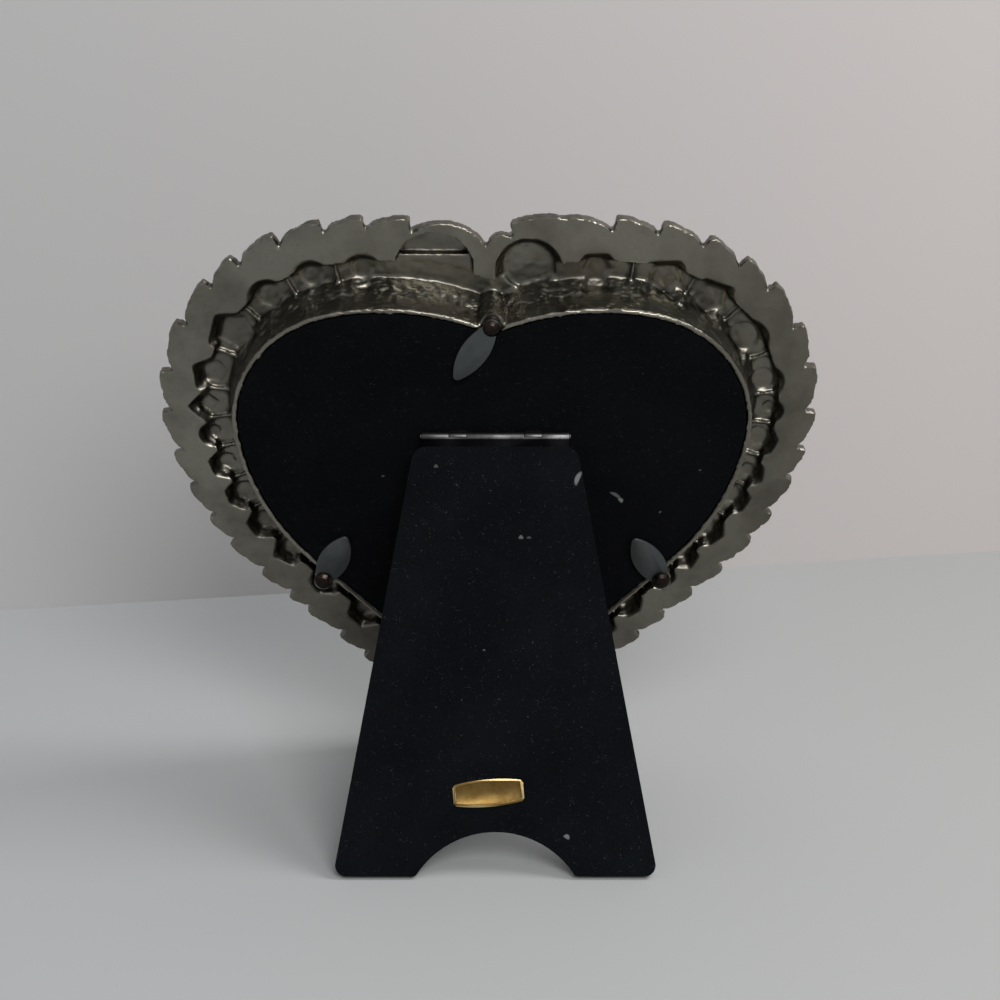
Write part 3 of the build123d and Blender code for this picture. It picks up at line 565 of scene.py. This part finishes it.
clipDressing = {"metal": clipMetal, "slot": "clip_metal", "bevel": 0.12}
rivetDressing = {"metal": rivetMetal, "slot": "clip_metal"}
hingeDressing = {"metal": hingeMetal, "slot": "hinge_metal", "bevel": 0.06}
hardParts = (
    {"node": "clip_top", "piece": "topClip", "body": "clip_top", **clipDressing},
    {"node": "clip_left", "piece": "leftClip", "body": "clip_left", **clipDressing},
    {"node": "clip_right", "piece": "rightClip", "body": "clip_right", **clipDressing},
    {"node": "clip_rivets", "piece": "clipRivets", "body": "frame", "bevel": 0.08, **rivetDressing},
    {"node": "clip_washers", "piece": "clipWashers", "body": "frame", "bevel": 0.05, **rivetDressing},
    {"node": "hinge_upper_leaf", "piece": "hingeUpperLeaf", "body": "frame", **hingeDressing},
    {"node": "hinge_lower_leaf", "piece": "hingeLowerLeaf", "body": "leg", **hingeDressing},
    {"node": "hinge_pin", "piece": "hingePin", "body": "frame", **hingeDressing},
)
for part in hardParts:
    makeHardPart(part["node"], part["piece"], part["body"], part["metal"], part["bevel"])
print("clips, rivets and hinge made")

# Velvet skins: rounded edges and a pile that isn't quite even
velvetSkins = (
    {"node": "board_velvet", "piece": "boardVelvet", "body": "frame", "cloth": boardVelvetCloth,
     "bevel": 0.3},
    {"node": "leg_velvet", "piece": "legVelvet", "body": "leg", "cloth": legVelvetCloth, "bevel": 0.35},
)
for skin in velvetSkins:
    piece = weldedCopy(skin["node"], skin["piece"], meltAngle=0)
    softenEdges(piece, skin["bevel"] * mm, segments=3)
    smoothByAngle(piece, 50)
    piece.data.materials.append(skin["cloth"])
    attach(piece, skin["body"])
    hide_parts(skin["node"])
print("velvet made")


# Label: a bare foil sticker, paler along its border
labelNode = frame["nodes"]["label"]
labelCorners = [labelNode.matrix_world @ vertex.co for vertex in labelNode.data.vertices]
labelAcross = [corner.dot(backX) for corner in labelCorners]
labelAlong = [corner.dot(legUp) for corner in labelCorners]
labelOut = sum(corner.dot(legOut) for corner in labelCorners) / len(labelCorners)
labelFace = {
    "middle": (backX * (max(labelAcross) + min(labelAcross)) / 2
               + legUp * (max(labelAlong) + min(labelAlong)) / 2 + legOut * labelOut),
    "halfLength": (max(labelAcross) - min(labelAcross)) / 2 / mm,
    "halfHeight": (max(labelAlong) - min(labelAlong)) / 2 / mm,
    "border": 0.5,
}
def makeLabel():
    material, tree, shader = newMaterial("labelFoil")
    place = tree.nodes.new("ShaderNodeTexCoord").outputs["Object"]
    wrinkle = noiseNode(tree, place, 260, 4, 0.6)
    stain = noiseNode(tree, place, 900, 3, 0.6)
    wrinkled = rangeNode(tree, wrinkle.outputs["Fac"], 0.35, 0.65)
    gold = mixColour(tree, wrinkled, tone(118, 95, 52), tone(92, 70, 30))
    colour = mixColour(tree, rangeNode(tree, stain.outputs["Fac"], 0.55, 0.75), gold, tone(110, 82, 34))
    sideways = mathNode(tree, "ABSOLUTE", placeAlong(tree, labelFace["middle"], backX), 0)
    lengthways = mathNode(tree, "ABSOLUTE", placeAlong(tree, labelFace["middle"], legUp), 0)
    border = mathNode(tree, "MAXIMUM", *(
        rangeNode(tree, distance, labelFace[half] - labelFace["border"], labelFace[half])
        for distance, half in ((sideways, "halfLength"), (lengthways, "halfHeight"))))
    colour = mixColour(tree, mathNode(tree, "MULTIPLY", border, 0.7), colour, tone(226, 208, 158))
    link(tree, colour, shader.inputs["Base Color"])
    shader.inputs["Metallic"].default_value = 0.85
    shader.inputs["Roughness"].default_value = 0.34
    addBump(tree, shader, wrinkle.outputs["Fac"], 0.4, 0.00015)
    return makeHardPart("label", "foilLabel", "leg", material, 0.04)


makeLabel()
print("label made")

# Inner pieces keep their CAD shape
innerFinishes = {
    "window_glass": paneGlass, "photo_insert": cardPaper, "filler_pad": padCard, "board_lining": liningPaper,
    "backing_board": boardCard, "leg_board": boardCard, "leg_lining": liningPaper, "board_rivets": hingeMetal,
    "leg_rivets": hingeMetal,
}
for nodeName, material in innerFinishes.items():
    node = frame["nodes"][nodeName]
    node.data.materials.clear()
    node.data.materials.append(material)

# Stage: a pale table and, close behind the frame, a plain card that stands a little askew
stage = {"reach": 1.5, "cardPlace": -0.105, "cardTurn": 9.7, "fade": 130}


def palePaintedLightMaterial(name, leftTone, rightTone):
    # one tone at the left of the view, one at its right: painted light makes the card paler to the right, and
    # the table is a little darker to the right; from behind, the card is clear, to show the frame's front
    material, tree, shader = newMaterial(name)
    shader.inputs["Roughness"].default_value = 0.7
    shader.inputs["Specular IOR Level"].default_value = 0.25
    across = placeAlong(tree, Vector((0, 0, 0)), backX)
    link(tree, mixColour(tree, rangeNode(tree, across, -stage["fade"], stage["fade"]), leftTone, rightTone),
         shader.inputs["Base Color"])
    clear = tree.nodes.new("ShaderNodeBsdfTransparent")
    mix = tree.nodes.new("ShaderNodeMixShader")
    link(tree, tree.nodes.new("ShaderNodeNewGeometry").outputs["Backfacing"], mix.inputs["Fac"])
    link(tree, shader.outputs["BSDF"], mix.inputs[1])
    link(tree, clear.outputs["BSDF"], mix.inputs[2])
    link(tree, mix.outputs["Shader"], tree.nodes["Material Output"].inputs["Surface"])
    return material


def makeStage():
    bpy.ops.mesh.primitive_plane_add(size=2 * stage["reach"], location=(0, 0, 0))
    table = bpy.context.object
    table.name = "table"
    table.data.materials.append(palePaintedLightMaterial("paleTable", tone(168, 170, 171), tone(162, 163, 161)))
    bpy.ops.mesh.primitive_plane_add(size=2 * stage["reach"],
                                     location=(0, stage["cardPlace"], stage["reach"]),
                                     rotation=(math.radians(-90), 0, math.radians(stage["cardTurn"])))
    card = bpy.context.object
    card.name = "backCard"
    card.data.materials.append(palePaintedLightMaterial("paleBackCard", tone(172, 171, 170), tone(184, 178, 176)))
    for sheet in (table, card):
        bakePlace(sheet)


makeStage()

# Light: a soft key from the right and behind the camera, a lamp high on the right, and a pale room
lamps = (
    {"name": "keyLamp", "place": (-0.22, 0.8, 0.66), "aim": (0, 0.0, 0.06), "size": 0.46, "power": 7.0},
    {"name": "sideLamp", "place": (-0.52, 0.05, 0.72), "aim": (0, 0.0, 0.06), "size": 0.34, "power": 3.4},
)
world = bpy.data.worlds.new("paleRoom")
world.use_nodes = True
world.node_tree.nodes["Background"].inputs["Color"].default_value = tone(216, 218, 222)
world.node_tree.nodes["Background"].inputs["Strength"].default_value = 0.62
bpy.context.scene.world = world
for lamp in lamps:
    data = bpy.data.lights.new(lamp["name"], "AREA")
    data.size = lamp["size"]
    data.energy = lamp["power"]
    light = bpy.data.objects.new(lamp["name"], data)
    bpy.context.scene.collection.objects.link(light)
    light.location = lamp["place"]
    light.rotation_euler = (Vector(lamp["aim"]) - Vector(lamp["place"])).to_track_quat("-Z", "Y").to_euler()
bpy.context.scene.view_settings.view_transform = "Standard"
print("stage and light ready")
